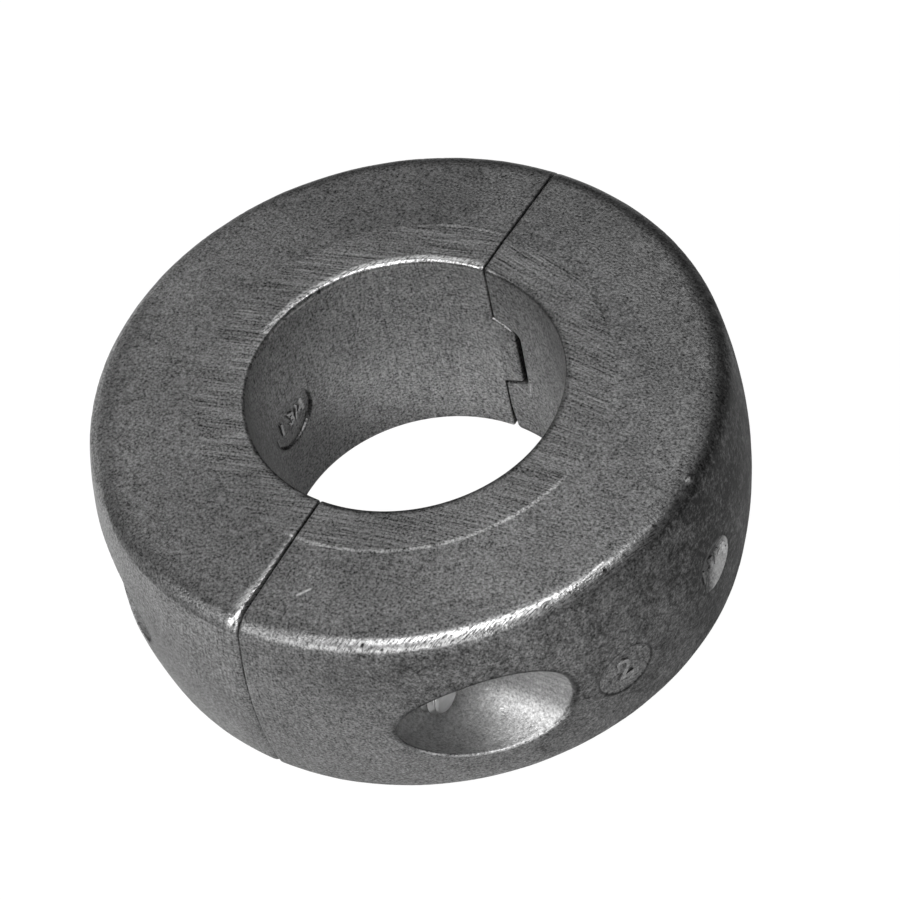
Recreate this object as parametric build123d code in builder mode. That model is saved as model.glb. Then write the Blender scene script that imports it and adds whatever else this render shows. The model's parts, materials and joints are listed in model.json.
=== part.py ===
from build123d import *
import math
import os

# A zinc anode for a propeller shaft: a split collar of two like castings, drawn together
# by two cap screws. The shaft runs along Z, the lower end ring lies at z = 0, and the
# halves meet on the plane x = 0. Lengths are in millimetres and angles in degrees.

# Collar
shaft_diameter = 44.45
collar_diameter = 92.08
collar_length = 34.9
end_ring_diameter = 57.9
barrel_bow = 2.01
face_drop = 0.7
rim_corner_radius = 2.2
bore_edge_radius = 0.5
joint_gap = 0.38
joint_edge_radius = 0.35

# Tongue on one joint face of each half, and the socket that it enters
socket_mouth = 14.4
socket_floor_width = 10.4
socket_depth = 4.3
socket_floor_radius = 0.7
tongue_length = 3.35
tongue_width = 5.6
tongue_end_radius = 0.5
tongue_clearance = 0.3

# Screw pockets, which open through the barrel. A screw's axis lies at this share of the
# wall, from the bore out to the barrel.
screw_wall_share = 0.469
pocket_diameter = 15.9
seat_distance = 16.5
nut_pocket_floor_radius = 3.0
head_pocket_floor_radius = 1.4
shank_clearance = 0.2

# Cap screw
screw_diameter = 6.35
screw_length = 41.28
head_diameter = 9.53
head_height = 6.35
head_edge_radius = 0.45
key_width = 4.76
key_depth = 3.05
point_chamfer = 0.7

# Spring lock washer
washer_diameter = 12.4
washer_thickness = 1.6
washer_clearance = 0.1
washer_slit = 0.7
washer_slit_angle = 20

# Nut that the zinc is cast round
nut_width = 11.11
nut_height = 5.56
nut_cover = 0.9
nut_chamfer_angle = 30
thread_clearance = 0.05

# Round marks that the mould leaves
plain_mark_diameter = 8.6
plain_mark_depth = 0.35
plain_mark_height = 14.9
plain_mark_azimuth = -24
size_mark_diameter = 8.4
size_mark_depth = 0.9
size_mark_height = 17.5
bore_mark_diameter = 9.2
bore_mark_depth = 0.3
bore_mark_height = 16.3

# Worked out from the sizes above
shaft_radius = shaft_diameter / 2
barrel_radius = collar_diameter / 2
rim_radius = barrel_radius - barrel_bow
mid_height = collar_length / 2
screw_offset = shaft_radius + screw_wall_share * (barrel_radius - shaft_radius)
pocket_radius = pocket_diameter / 2
shank_radius = screw_diameter / 2
hole_radius = shank_radius + shank_clearance
head_bearing = seat_distance + washer_thickness
nut_outer_face = seat_distance - nut_cover
nut_inner_face = nut_outer_face - nut_height
nut_corner_radius = nut_width / math.sqrt(3)
tongue_reach = shaft_radius + tongue_width
flank_slope = (socket_mouth - socket_floor_width) / 2 / socket_depth
half_turn = 180


def screw_section(side):
    """Plane through a screw's axis: its x runs along the screw and its y is up."""
    return Plane(origin=(0, side * screw_offset, mid_height), x_dir=(1, 0, 0), z_dir=(0, -1, 0))


def screw_axis(side):
    return Axis((0, side * screw_offset, mid_height), (1, 0, 0))


def wedge_points(root, end, clearance):
    """Outline of the tongue or the socket in x and z, from its root to its end."""
    sign = math.copysign(1, end - root)
    points = []
    for x, z_side in ((root, -1), (end, -1), (end, 1), (root, 1)):
        half_width = socket_mouth / 2 - clearance - sign * x * flank_slope
        points.append((x, mid_height + z_side * half_width))
    return points


def mark_plane(azimuth, height):
    """Plane across a mark's axis, square to the collar's radius there."""
    outward = Vector(1, 0, 0).rotate(Axis.Z, azimuth)
    return Plane(origin=(0, 0, height), x_dir=Vector(0, 0, 1).cross(outward), z_dir=outward)


# Nut in the front joint: a hexagon with both ends turned to a chamfer, and its bore
with BuildPart() as front_captive_nut:
    with BuildSketch(Plane.YZ.offset(nut_inner_face)):
        with Locations((-screw_offset, mid_height)):
            RegularPolygon(radius=nut_width / 2, side_count=6, major_radius=False)
    extrude(amount=nut_height)
    nut_flat_radius = nut_width / 2
    nut_chamfer = (nut_corner_radius - nut_flat_radius) * math.tan(math.radians(nut_chamfer_angle))
    with BuildSketch(screw_section(-1)):
        with BuildLine():
            Polyline(
                (nut_inner_face, 0),
                (nut_inner_face, nut_flat_radius),
                (nut_inner_face + nut_chamfer, nut_corner_radius),
                (nut_outer_face - nut_chamfer, nut_corner_radius),
                (nut_outer_face, nut_flat_radius),
                (nut_outer_face, 0),
                close=True,
            )
        make_face()
    revolve(axis=screw_axis(-1), mode=Mode.INTERSECT)
    nut_form = front_captive_nut.part
    with Locations(Plane(origin=(nut_outer_face, -screw_offset, mid_height), z_dir=(1, 0, 0))):
        Hole(radius=shank_radius + thread_clearance, depth=nut_height)

# Half of the collar on the +X side, a single casting
with BuildPart() as anode_half_right:
    # Barrel, bowed between its two rims, with a flat ring round the bore at each end
    with BuildSketch(Plane(origin=(0, 0, 0), x_dir=(0, -1, 0), z_dir=(-1, 0, 0))):
        with BuildLine():
            lower_rim = (rim_radius, face_drop)
            upper_rim = (rim_radius, collar_length - face_drop)
            ThreePointArc(lower_rim, (barrel_radius, mid_height), upper_rim)
            Polyline(
                upper_rim,
                (end_ring_diameter / 2, collar_length),
                (shaft_radius, collar_length),
                (shaft_radius, 0),
                (end_ring_diameter / 2, 0),
                lower_rim,
            )
        make_face()
        fillet(vertices().group_by(Axis.X)[-1], radius=rim_corner_radius)
        fillet(vertices().group_by(Axis.X)[0], radius=bore_edge_radius)
    revolve(axis=Axis.Z, revolution_arc=half_turn)
    split(bisect_by=Plane.YZ.offset(joint_gap / 2), keep=Keep.TOP)
    joint_faces = faces().filter_by(Axis.X).group_by(Axis.X)[0]
    fillet(joint_faces.edges(), radius=joint_edge_radius)

    # Tongue on the front joint face, flush with the bore
    tongue_start = shaft_radius - tongue_length
    with BuildSketch(Plane.XZ.offset(tongue_start)):
        with BuildLine():
            Polyline(*wedge_points(tongue_length, -tongue_length, tongue_clearance), close=True)
        make_face()
        fillet(vertices().group_by(Axis.X)[0], radius=tongue_end_radius)
    extrude(amount=tongue_reach - tongue_start)
    with Locations((0, 0, mid_height)):
        Cylinder(radius=shaft_radius, height=collar_length, mode=Mode.SUBTRACT)

    # Socket in the back joint face, open to the bore
    socket_reach = tongue_reach + tongue_clearance
    with BuildSketch(Plane.XZ.offset(-socket_reach)):
        with BuildLine():
            Polyline(*wedge_points(0, socket_depth, 0), close=True)
        make_face()
        fillet(vertices().group_by(Axis.X)[-1], radius=socket_floor_radius)
    extrude(amount=socket_reach - tongue_start, mode=Mode.SUBTRACT)

    # Round pockets: the front one ends at the cast-in nut, the back one seats a screw head
    for side, floor_radius in ((-1, nut_pocket_floor_radius), (1, head_pocket_floor_radius)):
        with BuildSketch(screw_section(side)):
            with BuildLine():
                Polyline(
                    (seat_distance, 0),
                    (seat_distance, pocket_radius),
                    (collar_diameter, pocket_radius),
                    (collar_diameter, 0),
                    close=True,
                )
            make_face()
            floor_corner = vertices().group_by(Axis.X)[0].sort_by(Axis.Y)[-1]
            fillet(floor_corner, radius=floor_radius)
        revolve(axis=screw_axis(side), mode=Mode.SUBTRACT)
        with Locations(Plane(origin=(head_bearing, side * screw_offset, mid_height), z_dir=(1, 0, 0))):
            Hole(radius=hole_radius, depth=head_bearing)
    add(nut_form, mode=Mode.SUBTRACT)

    # Flat mark and dished mark on the barrel, and a flat mark in the bore
    plain_mark = mark_plane(plain_mark_azimuth, plain_mark_height)
    with BuildSketch(plain_mark.offset(barrel_radius - plain_mark_depth)):
        Circle(plain_mark_diameter / 2)
    extrude(amount=plain_mark_diameter, mode=Mode.SUBTRACT)

    dish_rim = (barrel_radius, size_mark_diameter / 2)
    with BuildSketch(Plane(origin=(0, 0, size_mark_height), x_dir=(1, 0, 0), z_dir=(0, -1, 0))):
        with BuildLine():
            dish = TangentArc((barrel_radius - size_mark_depth, 0), dish_rim, tangent=(0, 1))
            Polyline(dish_rim, (collar_diameter, dish_rim[1]), (collar_diameter, 0), dish @ 0)
        make_face()
    revolve(axis=Axis((0, 0, size_mark_height), (1, 0, 0)), mode=Mode.SUBTRACT)

    with BuildSketch(Plane.YZ.offset(shaft_radius + bore_mark_depth)):
        with Locations((0, bore_mark_height)):
            Circle(bore_mark_diameter / 2)
    extrude(amount=-bore_mark_diameter, mode=Mode.SUBTRACT)

# The other casting is the same, turned half round the shaft
with BuildPart() as anode_half_left:
    add(anode_half_right.part, rotation=(0, 0, half_turn))

# Front screw, with its head in the left half and its end out through the nut on the right
with BuildPart() as front_clamp_screw:
    with BuildSketch(screw_section(-1)):
        with BuildLine():
            Polyline(
                (-head_bearing - head_height, 0),
                (-head_bearing - head_height, head_diameter / 2),
                (-head_bearing, head_diameter / 2),
                (-head_bearing, shank_radius),
                (screw_length - head_bearing, shank_radius),
                (screw_length - head_bearing, 0),
                close=True,
            )
        make_face()
        fillet(vertices().group_by(Axis.X)[0].sort_by(Axis.Y)[-1], radius=head_edge_radius)
        chamfer(vertices().group_by(Axis.X)[-1].sort_by(Axis.Y)[-1], length=point_chamfer)
    revolve(axis=screw_axis(-1))
    with BuildSketch(Plane.YZ.offset(-head_bearing - head_height)):
        with Locations((-screw_offset, mid_height)):
            RegularPolygon(radius=key_width / 2, side_count=6, major_radius=False)
    extrude(amount=key_depth, mode=Mode.SUBTRACT)

# Spring washer under the head, pressed flat, with its slanting slit
with BuildPart() as front_lock_washer:
    washer_hole_radius = shank_radius + washer_clearance
    with BuildSketch(Plane.YZ.offset(-head_bearing)):
        with Locations((-screw_offset, mid_height)):
            Circle(washer_diameter / 2)
            Circle(washer_hole_radius, mode=Mode.SUBTRACT)
    extrude(amount=washer_thickness)
    washer_middle = washer_thickness / 2 - head_bearing
    slit_middle = mid_height + (washer_diameter / 2 + washer_hole_radius) / 2
    with Locations(Location((washer_middle, -screw_offset, slit_middle), (0, 0, washer_slit_angle))):
        Box(washer_diameter, washer_slit, washer_diameter / 2, mode=Mode.SUBTRACT)

# The back joint has the same fittings, turned half round the shaft
with BuildPart() as back_clamp_screw:
    add(front_clamp_screw.part, rotation=(0, 0, half_turn))
with BuildPart() as back_lock_washer:
    add(front_lock_washer.part, rotation=(0, 0, half_turn))
with BuildPart() as back_captive_nut:
    add(front_captive_nut.part, rotation=(0, 0, half_turn))

os.makedirs("parts", exist_ok=True)
pieces = {
    "anode_half_left": anode_half_left,
    "anode_half_right": anode_half_right,
    "front_clamp_screw": front_clamp_screw,
    "front_lock_washer": front_lock_washer,
    "front_captive_nut": front_captive_nut,
    "back_clamp_screw": back_clamp_screw,
    "back_lock_washer": back_lock_washer,
    "back_captive_nut": back_captive_nut,
}
for node, piece in pieces.items():
    piece.part.label = node
    export_step(piece.part, f"parts/{node}.step")
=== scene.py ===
import json
import math

import bmesh
import bpy
from mathutils import Matrix, Vector


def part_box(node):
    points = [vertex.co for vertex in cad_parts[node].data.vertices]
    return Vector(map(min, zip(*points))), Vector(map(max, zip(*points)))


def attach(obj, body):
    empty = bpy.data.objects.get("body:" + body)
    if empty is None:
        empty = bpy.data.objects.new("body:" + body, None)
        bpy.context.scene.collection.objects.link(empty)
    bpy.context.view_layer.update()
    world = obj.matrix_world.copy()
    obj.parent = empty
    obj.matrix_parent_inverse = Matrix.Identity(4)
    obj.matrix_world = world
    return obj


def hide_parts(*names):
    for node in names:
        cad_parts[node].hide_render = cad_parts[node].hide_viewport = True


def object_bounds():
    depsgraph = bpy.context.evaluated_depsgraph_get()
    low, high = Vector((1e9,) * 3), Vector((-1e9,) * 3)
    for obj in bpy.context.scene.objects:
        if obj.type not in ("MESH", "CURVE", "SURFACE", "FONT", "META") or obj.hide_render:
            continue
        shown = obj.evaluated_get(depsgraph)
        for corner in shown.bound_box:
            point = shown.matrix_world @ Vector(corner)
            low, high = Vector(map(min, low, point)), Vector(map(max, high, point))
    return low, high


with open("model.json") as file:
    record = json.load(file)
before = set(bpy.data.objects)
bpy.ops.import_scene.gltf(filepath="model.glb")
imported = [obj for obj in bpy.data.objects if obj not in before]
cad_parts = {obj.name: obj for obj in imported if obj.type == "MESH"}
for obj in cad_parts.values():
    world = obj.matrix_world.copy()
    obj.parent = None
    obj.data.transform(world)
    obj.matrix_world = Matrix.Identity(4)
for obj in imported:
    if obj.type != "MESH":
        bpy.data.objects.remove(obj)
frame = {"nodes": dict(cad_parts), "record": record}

cad_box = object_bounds()
mm = 0.001


# Collar halves
# Two zinc castings from one pattern, the second turned half round the shaft. The metal is
# poured in a steel mould, so every edge is a little round and the skin a little uneven, and
# the two end rings are then ground flat on a belt.

def add_node(tree, kind, inputs=(), **settings):
    """Adds a node with its settings, and gives each of its inputs a value or a link."""
    node = tree.nodes.new(kind)
    for name, value in settings.items():
        setattr(node, name, value)
    for key, value in inputs.items() if isinstance(inputs, dict) else enumerate(inputs):
        value = getattr(value, "socket", value)
        if isinstance(value, bpy.types.NodeSocket):
            tree.links.new(value, node.inputs[key])
        elif value is not None:
            node.inputs[key].default_value = value
    return node


class Rule:
    """A number that a node tree works out at every point, so that a form reads as a formula."""

    def __init__(self, tree, socket):
        self.tree = tree
        self.socket = socket

    def step(self, operation, *others):
        node = add_node(self.tree, "ShaderNodeMath", [self, *others], operation=operation)
        return Rule(self.tree, node.outputs[0])

    def __add__(self, other):
        return self.step("ADD", other)

    def __sub__(self, other):
        return self.step("SUBTRACT", other)

    def __mul__(self, other):
        return self.step("MULTIPLY", other)

    def __truediv__(self, other):
        return self.step("DIVIDE", other)

    def __neg__(self):
        return self.step("MULTIPLY", -1)

    def hypot(self, other):
        return (self * self + other * other).step("SQRT")

    def most(self, other):
        return self.step("MAXIMUM", other)

    def least(self, other):
        return self.step("MINIMUM", other)

    def share(self, start, end):
        """0 up to the start, 1 from the end on, and a smooth rise between."""
        node = add_node(
            self.tree, "ShaderNodeMapRange", [self, start, end], interpolation_type="SMOOTHSTEP"
        )
        return Rule(self.tree, node.outputs[0])

    def within(self, other, radius):
        """What lies in both forms, with their common edge rounded to a radius."""
        past_self = (self + radius).most(0)
        past_other = (other + radius).most(0)
        return self.most(other).least(-radius) + past_self.hypot(past_other)

    def without(self, other, radius):
        """This form with the other cut out of it, and the edge of the cut rounded."""
        return self.within(-other, radius)

    def joined(self, other, radius):
        """Both forms together, with a fillet where they meet."""
        return -(-self).within(-other, radius)


def uneven(tree, place, grain, detail, roughness=0.5):
    """Uneven pattern from -1 to 1 whose grains are so many millimetres wide."""
    node = add_node(
        tree, "ShaderNodeTexNoise",
        {"Vector": place, "Scale": 1 / grain, "Detail": detail, "Roughness": roughness},
    )
    return (Rule(tree, node.outputs[0]) - 0.5) * 2


def rule_group(name, sizes, formula):
    """Node group that gives a form's distance from its skin, in millimetres, at a place."""
    group = bpy.data.node_groups.new(name, "GeometryNodeTree")
    group.interface.new_socket("Place", in_out="INPUT", socket_type="NodeSocketVector")
    for size in sizes:
        group.interface.new_socket(size, in_out="INPUT", socket_type="NodeSocketFloat")
    group.interface.new_socket("Distance", in_out="OUTPUT", socket_type="NodeSocketFloat")
    given = add_node(group, "NodeGroupInput")
    parts = add_node(group, "ShaderNodeSeparateXYZ", [given.outputs["Place"]]).outputs
    size = {key: Rule(group, given.outputs[key]) for key in sizes}
    place = [Rule(group, part) for part in parts]
    distance = formula(group, given.outputs["Place"], place, size)
    add_node(group, "NodeGroupOutput", {"Distance": distance})
    return group


def form_tree(name, sizes, formula, voxel, merging):
    """Tree that fills a box with a form's distance rule and draws its skin as a mesh.

    The skin comes out a little off, so its corners are then moved onto the form twice over.
    """
    group = rule_group(name + " rule", sizes, formula)
    tree = bpy.data.node_groups.new(name, "GeometryNodeTree")
    tree.interface.new_socket("Geometry", in_out="OUTPUT", socket_type="NodeSocketGeometry")
    for key in ("Low corner", "High corner"):
        tree.interface.new_socket(key, in_out="INPUT", socket_type="NodeSocketVector")
    for size in sizes:
        tree.interface.new_socket(size, in_out="INPUT", socket_type="NodeSocketFloat")
    tree.interface.new_socket("Material", in_out="INPUT", socket_type="NodeSocketMaterial")
    given = add_node(tree, "NodeGroupInput")
    low, high = given.outputs["Low corner"], given.outputs["High corner"]
    position = add_node(tree, "GeometryNodeInputPosition")
    place = add_node(
        tree, "ShaderNodeVectorMath", {0: position.outputs[0], "Scale": 1 / mm}, operation="SCALE"
    )

    def distance():
        inputs = {"Place": place.outputs[0], **{size: given.outputs[size] for size in sizes}}
        node = add_node(tree, "GeometryNodeGroup", inputs, node_tree=group)
        return Rule(tree, node.outputs[0])

    span = add_node(tree, "ShaderNodeVectorMath", [high, low], operation="SUBTRACT")
    count = add_node(
        tree, "ShaderNodeVectorMath", {0: span.outputs[0], "Scale": 1 / voxel}, operation="SCALE"
    )
    counts = add_node(tree, "ShaderNodeSeparateXYZ", [count.outputs[0]])
    corners = [
        add_node(
            tree, "ShaderNodeVectorMath", {0: corner, "Scale": mm}, operation="SCALE"
        ).outputs[0]
        for corner in (low, high)
    ]
    at_skin = 1.0
    block = add_node(tree, "GeometryNodeVolumeCube", {
        "Density": -distance() + at_skin, "Min": corners[0], "Max": corners[1],
        "Resolution X": counts.outputs[0], "Resolution Y": counts.outputs[1],
        "Resolution Z": counts.outputs[2],
    })
    skin = add_node(tree, "GeometryNodeVolumeToMesh", {
        "Volume": block.outputs[0], "Threshold": at_skin, "Adaptivity": merging,
    }).outputs[0]
    normal = add_node(tree, "GeometryNodeInputNormal")
    for _ in range(2):
        back = add_node(tree, "ShaderNodeVectorMath", {
            0: normal.outputs[0], "Scale": distance() * -mm,
        }, operation="SCALE")
        skin = add_node(
            tree, "GeometryNodeSetPosition", {"Geometry": skin, "Offset": back.outputs[0]}
        ).outputs[0]
    smooth = add_node(tree, "GeometryNodeSetShadeSmooth", {"Geometry": skin})
    real = add_node(tree, "GeometryNodeRealizeInstances", [smooth.outputs[0]])
    painted = add_node(tree, "GeometryNodeSetMaterial", {
        "Geometry": real.outputs[0], "Material": given.outputs["Material"],
    })
    add_node(tree, "NodeGroupOutput", [painted.outputs[0]])
    return tree


def form_mesh(name, tree, values):
    """Object whose plain mesh is what the tree gives for these values."""
    piece = bpy.data.objects.new(name, bpy.data.meshes.new(name))
    bpy.context.scene.collection.objects.link(piece)
    modifier = piece.modifiers.new(name, "NODES")
    modifier.node_group = tree
    for item in tree.interface.items_tree:
        if item.in_out == "INPUT":
            modifier[item.identifier] = values[item.name]
    evaluated = piece.evaluated_get(bpy.context.evaluated_depsgraph_get())
    made = bpy.data.meshes.new_from_object(evaluated)
    made.name = name
    piece.modifiers.clear()
    piece.data = made
    return piece


bore = frame["record"]["mounts"][0]["dims"]
shaft_radius = bore["r_mm"]
collar_length = bore["length_mm"]
barrel_radius = cad_box[1][1] / mm
mid_height = collar_length / 2
screw_wall_share = 0.469
screw_offset = shaft_radius + screw_wall_share * (barrel_radius - shaft_radius)
seat_distance = 16.5
pocket_radius = 7.95
hole_radius = 3.375
hole_edge = 0.2
ring_radius = 28.95
barrel_bow = 2.01
rim_radius = barrel_radius - barrel_bow
plain_mark_azimuth = math.radians(-24)
plain_mark = {"radius": 4.3, "depth": 0.5, "height": 14.9, "edge": 0.1}
size_mark = {"radius": 4.2, "depth": 0.9, "height": 17.5, "edge": 0.15}
bore_mark = {"radius": 4.6, "depth": 0.3, "height": 16.3, "edge": 0.12}
vent_nub = {"radius": 43.3, "aside": 0.9, "height": 33.8, "foot": 0.25}
tongue_edge, tongue_root, socket_edge = 0.2, 0.15, 0.25
dish_radius = (size_mark["radius"] ** 2 + size_mark["depth"] ** 2) / (2 * size_mark["depth"])

casting_sizes = {
    "Shaft radius": shaft_radius, "Barrel radius": barrel_radius, "Collar length": collar_length,
    "Ring radius": ring_radius, "Ring step": 0.06, "Face drop": 0.7, "Barrel bow": barrel_bow,
    "Rim corner": 2.2, "Bore edge": 0.5, "Joint gap": 0.26, "Joint edge": 0.22,
    "Socket mouth": 14.4, "Socket floor": 10.4, "Socket depth": 4.3, "Socket corner": 0.7,
    "Tongue length": 3.35, "Tongue width": 5.6, "Tongue corner": 0.5, "Tongue clearance": 0.3,
    "Screw offset": screw_offset, "Pocket radius": pocket_radius, "Seat distance": seat_distance,
    "Nut pocket floor": 3.0, "Head pocket floor": 1.4, "Pocket rim": 0.25,
    "Hole radius": hole_radius, "Unevenness": 0.06,
}


def casting_rule(tree, world, place, size):
    """One half of the collar: a bowed barrel round the bore, with its joint, pockets and marks."""
    x, y, z = place
    x = x * size["Turn"]
    y = y * size["Turn"]
    half_length = size["Collar length"] / 2
    radius = x.hypot(y)
    lift = z - half_length
    height = lift.step("ABSOLUTE")
    skin = uneven(tree, world, 7.0, 2.0) * size["Unevenness"]

    bow = size["Barrel bow"]
    rise = half_length - size["Face drop"]
    bow_radius = (rise * rise + bow * bow) / (bow * 2)
    barrel = (radius - size["Barrel radius"] + bow_radius).hypot(height) - bow_radius + skin
    from_ring = radius - size["Ring radius"]
    face_width = size["Barrel radius"] - bow - size["Ring radius"]
    slope = (size["Face drop"] - size["Ring step"]) / face_width
    face = height - half_length + size["Ring step"] + from_ring * slope + skin
    ends = (height - half_length).most(face.least(from_ring))
    inner = size["Shaft radius"] - radius
    body = barrel.within(ends, size["Rim corner"]).within(inner, size["Bore edge"])

    back = y.step("GREATER_THAN", 0)
    worn = from_ring.share(-6, 15) * back * size["Worn corner"]
    joint_edge = size["Joint edge"] + worn * (uneven(tree, world, 1.1, 2.0) * 0.35 + 1)
    foot = (x.hypot(inner) + z).share(6, 0) * back * size["Foot corner"]
    body = body.within(-x + size["Joint gap"] / 2, joint_edge + foot)

    flank_slope = (size["Socket mouth"] - size["Socket floor"]) / size["Socket depth"] / 2
    flank_length = (flank_slope * flank_slope + 1).step("SQRT")
    reach = size["Shaft radius"] + size["Tongue width"]
    tongue_half = size["Socket mouth"] / 2 - size["Tongue clearance"]
    tongue_side = (height - tongue_half - x * flank_slope) / flank_length
    tongue = tongue_side.within(-(x + size["Tongue length"]), size["Tongue corner"])
    tongue = tongue.most(-(y + reach)).most(x - size["Tongue length"]).most(y)
    body = body.joined(tongue.within(inner, tongue_edge), tongue_root)
    socket_side = (height - size["Socket mouth"] / 2 + x * flank_slope) / flank_length
    socket = socket_side.within(x - size["Socket depth"], size["Socket corner"])
    socket = socket.most(y - reach - size["Tongue clearance"]).most(-y)
    body = body.without(socket, socket_edge)

    for side, floor in ((1, "Nut pocket floor"), (-1, "Head pocket floor")):
        from_screw = (y + size["Screw offset"] * side).hypot(lift)
        to_seat = size["Seat distance"] - x
        pocket = (from_screw - size["Pocket radius"]).within(to_seat, size[floor])
        body = body.without(pocket, size["Pocket rim"])
        body = body.without(from_screw - size["Hole radius"], hole_edge)

    outward = x * math.cos(plain_mark_azimuth) + y * math.sin(plain_mark_azimuth)
    aside = y * math.cos(plain_mark_azimuth) - x * math.sin(plain_mark_azimuth)
    pad = aside.hypot(z - plain_mark["height"]) - plain_mark["radius"]
    pad = pad.most(size["Barrel radius"] - plain_mark["depth"] - outward)
    body = body.without(pad, plain_mark["edge"])
    from_axis = y.hypot(z - size_mark["height"])
    from_centre = x - size["Barrel radius"] + size_mark["depth"] - dish_radius
    body = body.without(from_centre.hypot(from_axis) - dish_radius, size_mark["edge"])
    disc = y.hypot(z - bore_mark["height"]) - bore_mark["radius"]
    disc = disc.most(x - size["Shaft radius"] - bore_mark["depth"]).most(-x)
    from_nub = (x - vent_nub["radius"]).hypot(y - vent_nub["aside"]).hypot(z - vent_nub["height"])
    body = body.without(disc, bore_mark["edge"])
    return body.joined(from_nub - size["Vent nub"], vent_nub["foot"])


def linear(code):
    """Linear colour of an sRGB hex value."""
    channels = [int(code[start:start + 2], 16) / 255 for start in (1, 3, 5)]
    return [c / 12.92 if c <= 0.04045 else ((c + 0.055) / 1.055) ** 2.4 for c in channels] + [1.0]


def shaded(name):
    """New material, its tree and its shader, and the place in millimetres, whole and in parts."""
    material = bpy.data.materials.new(name)
    material.use_nodes = True
    tree = material.node_tree
    shader = tree.nodes["Principled BSDF"]
    coordinates = add_node(tree, "ShaderNodeTexCoord")
    place = add_node(tree, "ShaderNodeVectorMath", {
        0: coordinates.outputs["Object"], "Scale": 1 / mm,
    }, operation="SCALE").outputs[0]
    parts = add_node(tree, "ShaderNodeSeparateXYZ", [place]).outputs
    return material, tree, shader, place, [Rule(tree, part) for part in parts]


def streaks(tree, parts, grains, detail=2.0):
    """Random pattern from -1 to 1 whose grains have their own width in millimetres each way."""
    scaled = [part / grain for part, grain in zip(parts, grains)]
    place = add_node(tree, "ShaderNodeCombineXYZ", scaled).outputs[0]
    return uneven(tree, place, 1.0, detail)


def ground_lines(tree, x, y, z, radius, below_end):
    """Belt marks across the collar: on the two end rings, and in patches on the faces beside."""
    fan = y * (x.most(0) * 0.01 + 1) + x.most(0) * 0.025 - x.least(0) * 0.26
    lines = streaks(tree, [x, fan, z], (7.0, 0.28, 3.0), 1.0)
    patch = streaks(tree, [x, y, z], (8.0, 6.0, 6.0), 1.0)
    on_ring = radius.share(ring_radius + 0.1, ring_radius - 0.1)
    on_ring = on_ring * (patch.share(-0.5, 0.1) * 0.7 + 0.3)
    beside = radius.share(ring_radius + 12, ring_radius + 4) * patch.share(0.0, 0.5) * 0.6
    return lines * below_end.share(0.9, 0.4) * on_ring.most(beside)


def drawn_lines(tree, z, radius, turn, aside):
    """Upright marks of drawing the casting from its mould: beside the joints and in the bore."""
    round_wall = turn * (barrel_radius * math.pi / 180)
    lines = streaks(tree, [round_wall, z, radius], (0.3, 9.0, 9.0))
    on_wall = radius.share(barrel_radius - 3.0, barrel_radius - 1.8) * aside.share(16, 2)
    in_bore = radius.share(shaft_radius + 0.3, shaft_radius + 0.1)
    return lines * on_wall.most(in_bore * 0.7)


def grime_and_shade(tree, place, turn, radius, z):
    """Dark tarnish in specks and blotches, thin all over and thick on the right half's outside,
    where painted shade deepens it towards the right side.
    """
    outside = radius.share(rim_radius - 2.5, rim_radius + 0.5)
    blotch = uneven(tree, place, 5.5, 4.0, 0.65)
    speck = uneven(tree, place, 0.8, 2.0, 0.8)
    edge = turn + (z - mid_height) * 1.3 + blotch * 14
    thick = edge.share(-78, -44) * turn.share(90, 55) * outside
    thin = speck.share(0.25, 0.6) * blotch.share(-0.1, 0.5) * 0.45
    # Painted shade: the last term darkens the outside more towards the right side.
    heaviness_and_shade = (blotch * 0.55 + speck * 0.75 + 0.5).most(0) + turn.share(-35, 12) * 0.42
    return thin.most(thick * heaviness_and_shade)


def clean_skin_and_painted_edges(turned_x, turned_y, z, radius):
    """Screw pockets and round marks, where little soiling settles, with painted shade round their
    edges and a painted highlight along the pockets' lower rims.
    """
    from_rim = (turned_y.step("ABSOLUTE") - screw_offset).hypot(z - mid_height) - pocket_radius
    pocket = from_rim.share(0.2, -0.05) * radius.share(barrel_radius - 0.35, barrel_radius - 0.8)
    edge = from_rim.share(-0.1, 0.1) * from_rim.share(0.55, 0.25)
    edge = edge * turned_x.share(seat_distance, seat_distance + 3)
    # Painted highlight along each pocket's lower rim, and painted shade round the rest of its rim
    # and round the marks.
    lit_edge = edge * z.share(mid_height - 3, mid_height - 6)
    outline = edge - lit_edge
    pads = []
    for azimuth, mark in ((plain_mark_azimuth, plain_mark), (0, size_mark)):
        aside = turned_y * math.cos(azimuth) - turned_x * math.sin(azimuth)
        outer = radius.share(shaft_radius + 8, shaft_radius + 9)
        from_edge = aside.hypot(z - mark["height"]) - mark["radius"]
        pads.append(from_edge.share(0.1, -0.15) * outer)
        outline = outline.most(from_edge.share(-0.15, 0.05) * from_edge.share(0.45, 0.2) * outer)
    return pocket, pads, outline, lit_edge


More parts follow.
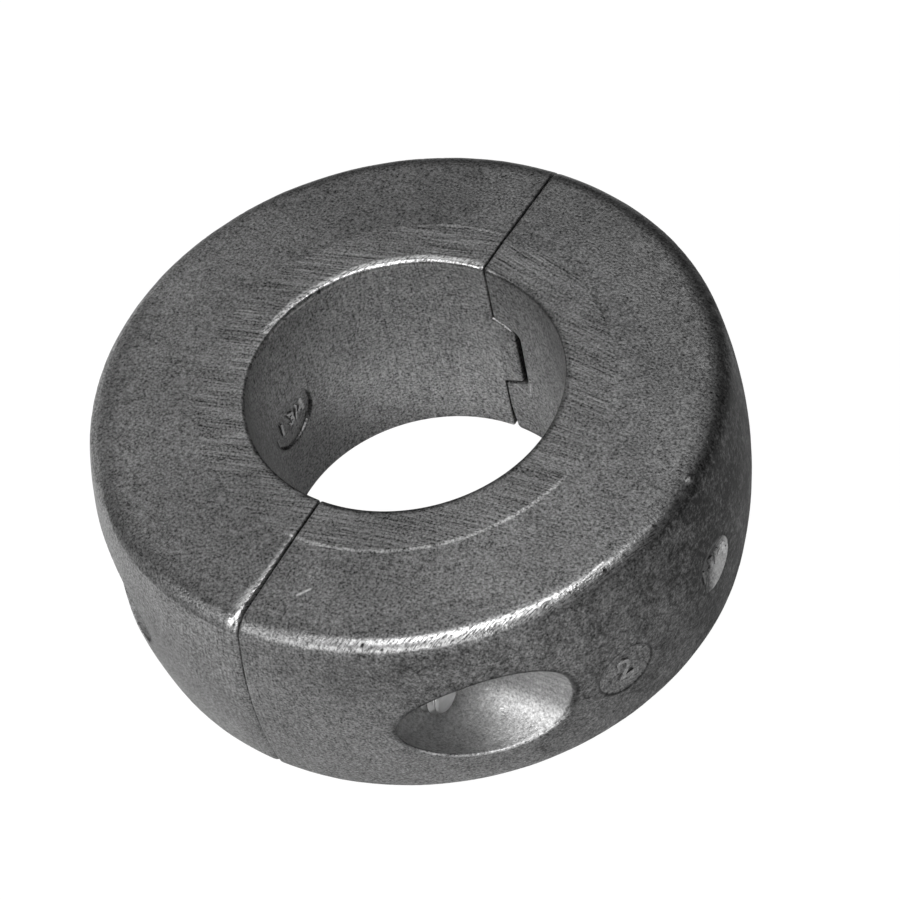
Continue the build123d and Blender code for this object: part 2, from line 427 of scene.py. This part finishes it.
def worn_and_highlit_edges(tree, place, x, y, z, turn, radius, below_end):
    """Edges worn bright in short strokes, laid only where the lamps' highlights fall, so part wear
    and part painted highlight, with painted shade left between the strokes.
    """
    upper = z.share(mid_height, mid_height + 1)
    left = x.share(0.1, -0.1)
    across_rim = radius + below_end - rim_radius
    # The rim band runs only on the right half's front and the bore edge band only on the left
    # half's back: painted highlight laid on the worn edges.
    rim = across_rim.share(-0.9, -0.2) * across_rim.share(2.3, 1.5) * (-left + 1)
    rim = rim * turn.share(-93, -58) * turn.share(2, -28)
    # Painted shade: a dark parting down the middle of the rim band, which splits its highlight
    # into two lines.
    highlight_parting = (across_rim - 0.75).step("ABSOLUTE").share(0.0, 0.6).most(turn.share(-62, -48))
    rim = rim * (highlight_parting * 0.6 + 0.4)
    from_bore_edge = (radius - shaft_radius - 0.15).hypot(below_end - 0.15)
    bore_edge = from_bore_edge.share(1.15, 0.7) * left * turn.share(84, 92)
    joint_width = y.share(-34, -42) * 1.2 + 1.0
    joint = (-x / joint_width).share(1.0, 0.6) * left * y.share(-27, -38) * below_end.share(3, 1.2)
    edges = rim.most(bore_edge).most(joint) * upper
    strokes = streaks(tree, [x * 0.37 + y * 0.93, x * 0.93 - y * 0.37, z], (1.1, 0.13, 1.1), 1.0)
    bright = (strokes * 0.7 + uneven(tree, place, 0.42, 2.0, 0.75) * 0.5).share(-0.3, 0.12)
    return edges * bright, edges * (-bright + 1)


def scratch(right, up, start, end):
    """One bright score between two places, in millimetres along two ways across a face."""
    run = Vector(end) - Vector(start)
    heading = run.normalized()
    middle = (Vector(start) + Vector(end)) / 2
    along = (right - middle.x) * heading.x + (up - middle.y) * heading.y
    across = (up - middle.y) * heading.x - (right - middle.x) * heading.y
    past = (along.step("ABSOLUTE") - run.length / 2).most(0)
    return past.hypot(across).share(0.22, 0.08)


# The zinc's colour runs from the darkest tone, which tarnish and painted shade pull it towards, to
# the brightest.
darkest_colour = "#1c1c1c"
bright_colour = "#e0e0e0"
cast_share = 0.64
# How far wear and painted highlights lift the colour towards the brightest tone.
worn_and_highlight_share = 0.5


def cast_zinc(name, wear=0.0):
    """Anode zinc as it leaves the mould: a dull, grainy and mottled grey with dark tarnish on it.

    It is brighter and smoother where it is ground or worn. It also carries painted light:
    highlights on edges and in the screw pockets, lighter pockets, marks, bore and left wall, and
    painted shade along rims, round pockets and marks, in the bore and over the right half's
    outside. Its finest grain is drawn a third of a millimetre wide, coarser than the real one,
    so that it shows.
    """
    material, tree, shader, place, (x, y, z) = shaded(name)
    radius = x.hypot(y)
    turn = y.step("ARCTAN2", x) * (180 / math.pi)
    aside = x.step("ABSOLUTE")
    below_end = -(z - mid_height).step("ABSOLUTE") + mid_height
    left = x.share(0.1, -0.1)

    grain = uneven(tree, place, 0.36, 1.0, 0.8)
    mottle = uneven(tree, place, 1.9, 3.0, 0.65)
    cloud = uneven(tree, place, 11.0, 2.0, 0.55)
    ground = ground_lines(tree, x, y, z, radius, below_end)
    drawn = drawn_lines(tree, z, radius, turn, aside)
    dirt_and_shade = grime_and_shade(tree, place, turn, radius, z)
    # Edge wear with painted highlight on it, and painted shade in the gaps between its strokes.
    worn_and_highlit, stroke_gap_shade = worn_and_highlit_edges(tree, place, x, y, z, turn, radius, below_end)
    on_face = z.share(mid_height, mid_height + 1)
    in_bore = radius.share(shaft_radius + 1.2, shaft_radius + 0.3)
    for start, end in (((38.8, -17.7), (39.4, -16.0)), ((5.2, -36.9), (6.3, -35.4))):
        worn_and_highlit = worn_and_highlit.most(scratch(x, y, start, end) * on_face)
    for start, end in (((1.8, 10.6), (4.3, 9.4)), ((4.3, 9.4), (4.7, 12.6))):
        worn_and_highlit = worn_and_highlit.most(scratch(x, z, start, end) * in_bore * y.share(0, 1) * 0.5)

    side = x.step("SIGN")
    pocket, (plain_pad, size_pad), outline, lit_edge = clean_skin_and_painted_edges(x * side, y * side, z, radius)
    # Painted light: the dished mark lighter towards one side, as a lit crescent.
    size_pad = size_pad * (y * side * 0.8 - (z - size_mark["height"]) * 0.6).share(-1.0, 2.8) * 1.1
    # The pockets and marks are lighter: bare skin there, and painted light that is strongest deep
    # in the screw pockets.
    clean_and_painted_light = (pocket * ((x * side).share(27, 18) * 1.1 + 1.2)).most(plain_pad * 0.25).most(size_pad)
    # Painted highlights, broken into glints: a patch low on each screw pocket's wall and a line
    # along the pockets' lower rims.
    pocket_highlight = (x * side - 28.0).hypot(z - 10.7).share(1.9, 0.3) * pocket
    glints = uneven(tree, place, 0.6, 2.0, 0.7).share(-0.3, 0.2)
    worn_and_highlit = worn_and_highlit.most(pocket_highlight.most(lit_edge) * glints * 0.9)
    ring_edge = (radius - ring_radius - 0.1).step("ABSOLUTE").share(0.35, 0.1)
    ring_edge = ring_edge * below_end.share(0.6, 0.3)
    lit_part = turn.share(-100, -85) * turn.share(0, -20)
    lit_part = lit_part.most(turn.share(86, 92) * turn.share(150, 125) * 0.6)
    lit_ring = ring_edge * lit_part * (mottle.share(-0.6, 0.2) * 0.3 + 0.7)
    across_rim = radius + below_end - rim_radius
    # Painted light: the left half's wall lighter on the side the lamps light from.
    past_left_rim = across_rim - turn.share(-138, -118) * 3.1
    left_wall_light = past_left_rim.share(-0.1, 0.4) * past_left_rim.share(14, 4) * left
    left_wall_light = left_wall_light * turn.share(-90, -97)
    # Lightness of the zinc. Besides its random tone it holds painted light: in the pockets and
    # marks, in the bore more on its +y side and in the left half, on the left wall and along the
    # ring's edge.
    light = clean_and_painted_light * 0.42 + in_bore * (y.share(0, 18) * 0.25 + left * 0.1)
    light = light + left_wall_light * 0.14 + lit_ring * 0.55 + cloud * 0.15 + 0.5

    # Painted shade: in the left half's bore, in a band along the left half's rim, in a strip
    # beside the right half's rim highlight and over the right half's bore edge. The faces are also
    # darker on the front and the back left.
    shaded_bore = in_bore * left * (y * 0.9 + z).share(26, 8)
    left_rim_shade = past_left_rim.share(-5.0, -0.8) * past_left_rim.share(0.3, -0.1) * left
    beside_rim_shade = (across_rim + 1.4).step("ABSOLUTE").share(1.2, 0.2) * (-left + 1)
    from_bore_edge = (radius - shaft_radius - 0.15).hypot(below_end - 0.15)
    bore_edge_shade = from_bore_edge.share(0.9, 0.4) * (-left + 1)
    front = turn.share(-140, -110) * turn.share(-40, -70)
    back_left = turn.share(90, 108) * turn.share(165, 140)
    back_left = back_left * radius.share(ring_radius - 1, ring_radius + 2)
    # Tarnish with painted shade in it, kept off the pockets and marks.
    oxide_and_shade = (dirt_and_shade * (-clean_and_painted_light + 1).most(0)).least(1)
    # Each pair is a darkening and how deep it goes; the outline and the stroke gaps are painted
    # shade as well.
    darks = (
        (shaded_bore, 0.62), (left_rim_shade, 0.25), (beside_rim_shade, 0.15), (bore_edge_shade, 0.5),
        (front, 0.17), (back_left, 0.15), (stroke_gap_shade, 0.4), (outline, 0.6), (oxide_and_shade, 0.93),
    )
    coarseness = pocket.most(size_pad) * -0.6 + 1
    texture = (grain * 1.6 + mottle * 0.45) * coarseness + ground * 1.2 + drawn * 0.6 + 1
    tone = light * texture.most(0.05)
    for dark, depth in darks:
        tone = tone * (-dark * depth + 1)
    worn_and_highlit = worn_and_highlit.most((in_bore + 1) * wear)
    colour = add_node(tree, "ShaderNodeMix", {
        "Factor": tone * cast_share + worn_and_highlit * worn_and_highlight_share,
        "A": linear(darkest_colour), "B": linear(bright_colour),
    }, data_type="RGBA")

    shader.inputs["Metallic"].default_value = 1.0
    tree.links.new(colour.outputs["Result"], shader.inputs["Base Color"])
    roughness = mottle * 0.06 + 0.46 - worn_and_highlit * 0.15 + dirt_and_shade * 0.1 + pocket * 0.08
    tree.links.new(roughness.socket, shader.inputs["Roughness"])
    height = grain * 0.028 + mottle * 0.02
    bump = add_node(tree, "ShaderNodeBump", {"Height": height, "Distance": mm, "Strength": 1.0})
    tree.links.new(bump.outputs[0], shader.inputs["Normal"])
    return material


zinc = cast_zinc("as_cast_anode_zinc")
casting_tree = form_tree(
    "zinc_casting", [*casting_sizes, "Turn", "Worn corner", "Foot corner", "Vent nub"],
    casting_rule, voxel=0.16, merging=0.05,
)
box_margin = Vector((1.0, 1.0, 1.0))


def room(node):
    """Corners of a box in millimetres that holds a node with a little to spare."""
    low, high = (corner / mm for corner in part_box(node))
    return {"Low corner": list(low - box_margin), "High corner": list(high + box_margin)}


no_vent = -1.0
for node, turn, worn_corner, foot_corner, vent_size in (
    ("anode_half_right", 1.0, 0.1, 1.0, 0.55), ("anode_half_left", -1.0, 0.75, 0.0, no_vent),
):
    half = form_mesh(node + "_casting", casting_tree, {
        **casting_sizes, **room(node), "Turn": turn, "Worn corner": worn_corner,
        "Foot corner": foot_corner, "Vent nub": vent_size, "Material": zinc,
    })
    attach(half, "root")
    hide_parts(node)


# Raised figures
# Plain figures that the mould leaves standing in its round marks: the shaft's size in inches in
# the bore and in the dished mark, and a pattern number on the flat one. Cast with each half.

figure_proud = 0.28
figure_half_depth = 0.25
figure_edge = 0.07
rubbed_zinc = cast_zinc("rubbed_figure_zinc", wear=0.3)


def figure_mesh(text, figure_height, outward, distance, facing, mark, dished):
    """Solid figures laid on a mark: their outline runs round the shaft and up it."""
    curve = bpy.data.curves.new("figures", "FONT")
    curve.body = text
    curve.size = figure_height
    curve.align_x, curve.align_y = "CENTER", "CENTER"
    curve.extrude = figure_half_depth
    curve.bevel_depth = figure_edge
    curve.resolution_u = 3
    flat = bpy.data.objects.new("figures", curve)
    solid = bmesh.new()
    solid.from_mesh(bpy.data.meshes.new_from_object(flat))
    bpy.data.objects.remove(flat)
    bmesh.ops.remove_doubles(solid, verts=solid.verts, dist=1e-4)
    aside = Vector((0, 0, 1)).cross(outward)
    for corner in solid.verts:
        across, up, depth = corner.co
        sag = dish_radius - math.sqrt(dish_radius ** 2 - across ** 2 - up ** 2) if dished else 0
        out = distance + facing * (depth + sag + figure_proud - figure_half_depth - figure_edge)
        raised_to = Vector((0, 0, mark["height"] + up))
        corner.co = (outward * out + aside * (facing * across) + raised_to) * mm
    return solid


for half, half_turn in (("right", 0), ("left", math.pi)):
    figures = bmesh.new()
    for text, figure_height, azimuth, distance, facing, mark, dished in (
        ("2", 5.4, plain_mark_azimuth, barrel_radius - plain_mark["depth"], 1, plain_mark, False),
        ("1 3/4", 3.4, 0, barrel_radius - size_mark["depth"], 1, size_mark, True),
        ("1 3/4", 3.2, 0, shaft_radius + bore_mark["depth"], -1, bore_mark, False),
    ):
        outward = Vector((math.cos(azimuth + half_turn), math.sin(azimuth + half_turn), 0))
        solid = figure_mesh(text, figure_height, outward, distance, facing, mark, dished)
        one = bpy.data.meshes.new("figure")
        solid.to_mesh(one)
        figures.from_mesh(one)
    bmesh.ops.recalc_face_normals(figures, faces=figures.faces)
    figures_mesh = bpy.data.meshes.new("raised_figures_" + half)
    figures.to_mesh(figures_mesh)
    figures_mesh.materials.append(rubbed_zinc)
    raised = bpy.data.objects.new("raised_figures_" + half, figures_mesh)
    bpy.context.scene.collection.objects.link(raised)
    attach(raised, "root")


# Captive nuts
# Plain hexagon nuts of stainless steel, laid in the mould so that the zinc is cast round them.
# Only the screws reach them.

def stainless():
    """Stainless steel as turned and rolled: smooth, brighter than the zinc, with faint rings."""
    material, tree, shader, place, (x, y, z) = shaded("rolled_stainless_steel")
    shader.inputs["Metallic"].default_value = 1.0
    film = uneven(tree, place, 1.2, 2.0) * 0.5 + 0.5
    colour = add_node(tree, "ShaderNodeMix", {
        "Factor": film, "A": linear("#8a8a8a"), "B": linear("#b4b4b4"),
    }, data_type="RGBA")
    tree.links.new(colour.outputs["Result"], shader.inputs["Base Color"])
    drawn_out = add_node(tree, "ShaderNodeCombineXYZ", [x * 6, y * 0.5, z * 0.5]).outputs[0]
    turned = uneven(tree, drawn_out, 1.0, 2.0)
    tree.links.new((turned * 0.05 + 0.3).socket, shader.inputs["Roughness"])
    bump = add_node(tree, "ShaderNodeBump", {
        "Height": turned * 0.004, "Distance": mm, "Strength": 1.0,
    })
    tree.links.new(bump.outputs[0], shader.inputs["Normal"])
    return material


steel = stainless()
for node in ("front_captive_nut", "back_captive_nut"):
    nut = frame["nodes"][node].data
    nut.materials.clear()
    nut.materials.append(steel)


# Clamp screws
# Socket head cap screws of stainless steel, with a rolled thread and a knurled head. Each has
# its head in one half's pocket and runs through the nut into the other half's pocket.

washer_thickness = 1.6
head_bearing = seat_distance + washer_thickness
screw_sizes = {
    "Shank radius": 3.175, "Root radius": 2.42, "Pitch": 1.27, "Threaded length": 16.0,
    "Screw length": 41.28, "Point chamfer": 0.7, "Head radius": 4.765, "Head height": 6.35,
    "Head edge": 0.45, "Key width": 4.76, "Key depth": 3.05, "Knurl depth": 0.14, "Knurls": 56.0,
    "Screw offset": screw_offset, "Bearing": head_bearing,
}


def about_screw(place, size):
    """Distance along a screw from under its head, and the two distances across from its axis."""
    x, y, z = place
    along = x * size["Turn"] + size["Bearing"]
    return along, y * size["Turn"] + size["Screw offset"], z - mid_height


def saw(value):
    """Even rise and fall between 0 and 1 as a number counts up."""
    return (value.step("FRACT") * 2 - 1).step("ABSOLUTE")


def screw_rule(tree, world, place, size):
    """Cap screw: threaded shank with a chamfered point, and knurled head with a hexagon hole."""
    along, across, lift = about_screw(place, size)
    from_axis = across.hypot(lift)
    turns = lift.step("ARCTAN2", across) / math.tau
    crest = saw(along / size["Pitch"] - turns) * 1.3 - 0.15
    crest = crest.most(0).least(1)
    plain = (along - size["Screw length"] + size["Threaded length"]).share(1.5, 0)
    depth = size["Shank radius"] - size["Root radius"]
    thread_radius = size["Root radius"] + crest.most(plain) * depth
    past_end = along - size["Screw length"]
    point = (from_axis - size["Shank radius"] + size["Point chamfer"] + past_end) * math.sqrt(0.5)
    shank = ((from_axis - thread_radius) * 0.8).most(past_end).most(point).most(-along)
    diagonals = [turns * size["Knurls"] + along / 0.9, turns * size["Knurls"] - along / 0.9]
    knurl = saw(diagonals[0]).least(saw(diagonals[1])) * size["Knurl depth"]
    top = -along - size["Head height"]
    side = (from_axis - size["Head radius"] + knurl) * 0.9
    head = side.within(top, size["Head edge"]).within(along, 0.2)
    slope = math.sin(math.tau / 6)
    slants = [lift * 0.5 + across * slope, lift * 0.5 - across * slope]
    key = lift.step("ABSOLUTE").most(slants[0].step("ABSOLUTE")).most(slants[1].step("ABSOLUTE"))
    floor = -top - size["Key depth"] - (-from_axis + size["Key width"] / 2) * 0.5
    recess = (key - size["Key width"] / 2).within(floor, 0.1)
    return head.without(recess, 0.15).joined(shank, 0.3)


screw_tree = form_tree("cap_screw", [*screw_sizes, "Turn"], screw_rule, voxel=0.11, merging=0.04)
for node, turn in (("front_clamp_screw", 1.0), ("back_clamp_screw", -1.0)):
    screw = form_mesh(node + "_threaded", screw_tree, {
        **screw_sizes, **room(node), "Turn": turn, "Material": steel,
    })
    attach(screw, "root")
    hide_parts(node)


# Lock washers
# Each is one turn of square stainless spring wire with a slanting slit. The screw's head
# presses it flat on the floor of its pocket.

washer_sizes = {
    "Outer radius": 6.2, "Inner radius": 3.275, "Thickness": washer_thickness, "Slit": 0.7,
    "Slit slant": 0.364, "Corner": 0.2, "Screw offset": screw_offset, "Bearing": head_bearing,
}


def washer_rule(tree, world, place, size):
    """Ring of square wire about the screw, with its slit on the upper side."""
    along, across, lift = about_screw(place, size)
    from_axis = across.hypot(lift)
    middle = (size["Outer radius"] + size["Inner radius"]) / 2
    wire = (from_axis - middle).step("ABSOLUTE") - size["Outer radius"] + middle
    half_thick = size["Thickness"] / 2
    from_middle = along - half_thick
    ring = wire.within(from_middle.step("ABSOLUTE") - half_thick, size["Corner"])
    slit = (across - from_middle * size["Slit slant"]).step("ABSOLUTE") - size["Slit"] / 2
    return ring.without(slit.most(-lift), 0.08)


washer_tree = form_tree(
    "lock_washer", [*washer_sizes, "Turn"], washer_rule, voxel=0.08, merging=0.04,
)
for node, turn in (("front_lock_washer", 1.0), ("back_lock_washer", -1.0)):
    washer = form_mesh(node + "_spring", washer_tree, {
        **washer_sizes, **room(node), "Turn": turn, "Material": steel,
    })
    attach(washer, "root")
    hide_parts(node)


# Floor and air
# A pale floor that shows as plain white and keeps a faint shadow of the collar, in air that
# looks white and gives next to no light of its own.

white_share = 0.93
air_light = 0.03


def pale_floor():
    """Matt floor, nearly all of whose light to the camera is plain white."""
    material = bpy.data.materials.new("white_floor")
    material.use_nodes = True
    tree = material.node_tree
    shader = tree.nodes["Principled BSDF"]
    shader.inputs["Base Color"].default_value = linear("#e6e6e6")
    shader.inputs["Roughness"].default_value = 0.9
    glow = add_node(tree, "ShaderNodeEmission", {"Color": linear("#ffffff"), "Strength": 1.06})
    path = add_node(tree, "ShaderNodeLightPath").outputs
    share = Rule(tree, path["Is Camera Ray"]) * white_share
    mix = add_node(tree, "ShaderNodeMixShader", [share, shader.outputs[0], glow.outputs[0]])
    tree.links.new(mix.outputs[0], tree.nodes["Material Output"].inputs["Surface"])
    return material


floor_half_width = 6.0
floor_mesh = bpy.data.meshes.new("floor")
floor_corners = ((-1, -1), (1, -1), (1, 1), (-1, 1))
floor_mesh.from_pydata(
    [(x * floor_half_width, y * floor_half_width, 0) for x, y in floor_corners],
    [], [(0, 1, 2, 3)],
)
floor_mesh.materials.append(pale_floor())
floor = bpy.data.objects.new("floor", floor_mesh)
bpy.context.scene.collection.objects.link(floor)

air = bpy.data.worlds.new("studio_air")
air.use_nodes = True
bpy.context.scene.world = air
air_tree = air.node_tree
ray = add_node(air_tree, "ShaderNodeLightPath").outputs
around = air_tree.nodes["Background"]
around.inputs["Color"].default_value = linear("#bdbdbd")
around.inputs["Strength"].default_value = air_light
white = add_node(air_tree, "ShaderNodeBackground", {"Color": linear("#ffffff"), "Strength": 1.0})
blank = add_node(
    air_tree, "ShaderNodeMixShader", [ray["Is Camera Ray"], around.outputs[0], white.outputs[0]]
)
air_tree.links.new(blank.outputs[0], air_tree.nodes["World Output"].inputs["Surface"])


# Lamps
# Soft boxes round the bench. Each row is a box's azimuth and height angle in degrees, its
# width in metres and its watts.

lamp_distance = 0.9
soft_boxes = {
    "above_camera": (-55, 65, 0.5, 4.2),
    "overhead": (30, 75, 0.4, 1.3),
    "left": (-112, 28, 0.55, 3.6),
    "low_front": (-62, 12, 0.5, 3.0),
    "back": (130, 55, 0.4, 0.65),
    "far_left": (165, 20, 0.5, 0.9),
}
aim = Vector((0, 0, mid_height * mm))
for name, (azimuth, elevation, width, power) in soft_boxes.items():
    box = bpy.data.lights.new(name, "AREA")
    box.size = width
    box.energy = power
    lamp = bpy.data.objects.new(name + "_box", box)
    turned = Matrix.Rotation(math.radians(azimuth + 90), 4, "Z")
    turned = turned @ Matrix.Rotation(math.radians(90 - elevation), 4, "X")
    lamp.matrix_world = (
        Matrix.Translation(aim) @ turned @ Matrix.Translation((0, 0, lamp_distance))
    )
    bpy.context.scene.collection.objects.link(lamp)


# Camera
# It looks down on the collar past its front joint, turned a little about its own line of
# sight. Its angles and its distance are those at which the collar fits the photograph.

camera_azimuth = math.radians(40.574)
camera_elevation = math.radians(50.032)
camera_roll = math.radians(13.637)
camera_pan = math.radians(0.5170)
camera_tilt = math.radians(0.0768)
camera_distance = 446.992 * mm
camera_data = bpy.data.cameras.new("camera")
camera_data.lens = 126.925
camera = bpy.data.objects.new("camera", camera_data)
bpy.context.scene.collection.objects.link(camera)
swing = Matrix.Rotation(camera_azimuth, 4, "Z")
swing = swing @ Matrix.Rotation(math.radians(90) - camera_elevation, 4, "X")
nudge = (
    Matrix.Rotation(-camera_pan, 4, "Y") @ Matrix.Rotation(camera_tilt, 4, "X")
    @ Matrix.Rotation(-camera_roll, 4, "Z")
)
camera.matrix_world = (
    Matrix.Translation(aim) @ swing @ Matrix.Translation((0, 0, camera_distance)) @ nudge
)
bpy.context.scene.camera = camera

bpy.context.scene.view_settings.view_transform = "Standard"
